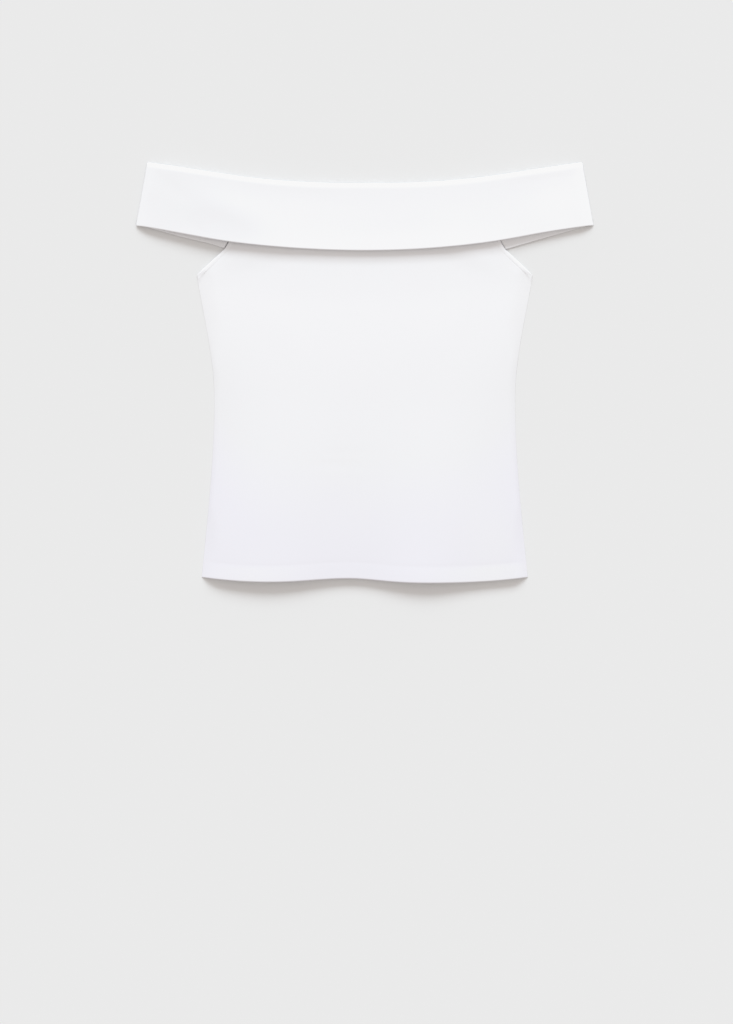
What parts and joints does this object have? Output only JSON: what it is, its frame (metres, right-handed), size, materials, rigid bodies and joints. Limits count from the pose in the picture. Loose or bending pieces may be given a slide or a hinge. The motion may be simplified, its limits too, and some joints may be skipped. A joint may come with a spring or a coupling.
{
  "type": "off-the-shoulder top",
  "caption": "Fitted off-the-shoulder top with a wide fold-over collar across both shoulders, laid flat on its back.",
  "frame": {"origin": "centre of the bounding box on the surface that the garment lies on", "axes": "+X across the garment towards the right of the picture, +Y up towards the neckline, +Z out of the surface"},
  "size_m": [0.5172, 0.4753, 0.0085],
  "materials": {
    "knit": "smooth matt double knit, bright white"
  },
  "bodies": {
    "root": {"back_collar": "knit", "back_body": "knit", "front_body": "knit", "front_collar": "knit", "shoulder_strap_left": "knit", "shoulder_strap_right": "knit", "armhole_binding_front_left": "knit", "armhole_binding_front_right": "knit", "armhole_binding_back_left": "knit", "armhole_binding_back_right": "knit"}
  },
  "joints": []
}
